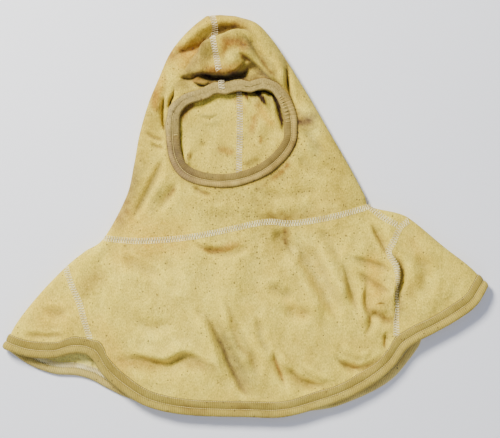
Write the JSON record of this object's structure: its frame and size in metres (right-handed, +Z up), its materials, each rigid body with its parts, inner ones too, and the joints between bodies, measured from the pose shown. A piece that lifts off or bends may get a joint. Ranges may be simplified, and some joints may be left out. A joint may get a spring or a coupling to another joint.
{
  "type": "firefighter hood",
  "caption": "Two-ply knit protective hood lying on its back: head tube with an elasticated oval face opening, and a bib with shoulder gussets and a bound hem.",
  "frame": {"origin": "middle of the footprint, on the surface that the hood lies on", "axes": "+Z up, +Y from the hem to the crown, +X to the right of someone who looks down at the face opening"},
  "size_m": [0.5842, 0.485, 0.0411],
  "materials": {
    "knit_cloth": "matte two-ply interlock knit, heathered tan, worn and stained",
    "hem_knit": "matte ribbed knit strip, coverstitched in two rows",
    "face_knit": "matte ribbed knit over elastic, soiled brown",
    "seam_thread": "matte pale thread of the flat seams"
  },
  "bodies": {
    "root": {"head_panel": "knit_cloth", "front_bib": "knit_cloth", "back_bib": "knit_cloth", "left_shoulder_cap": "knit_cloth", "right_shoulder_cap": "knit_cloth", "hem_binding": "hem_knit", "face_binding": "face_knit"}
  },
  "joints": []
}
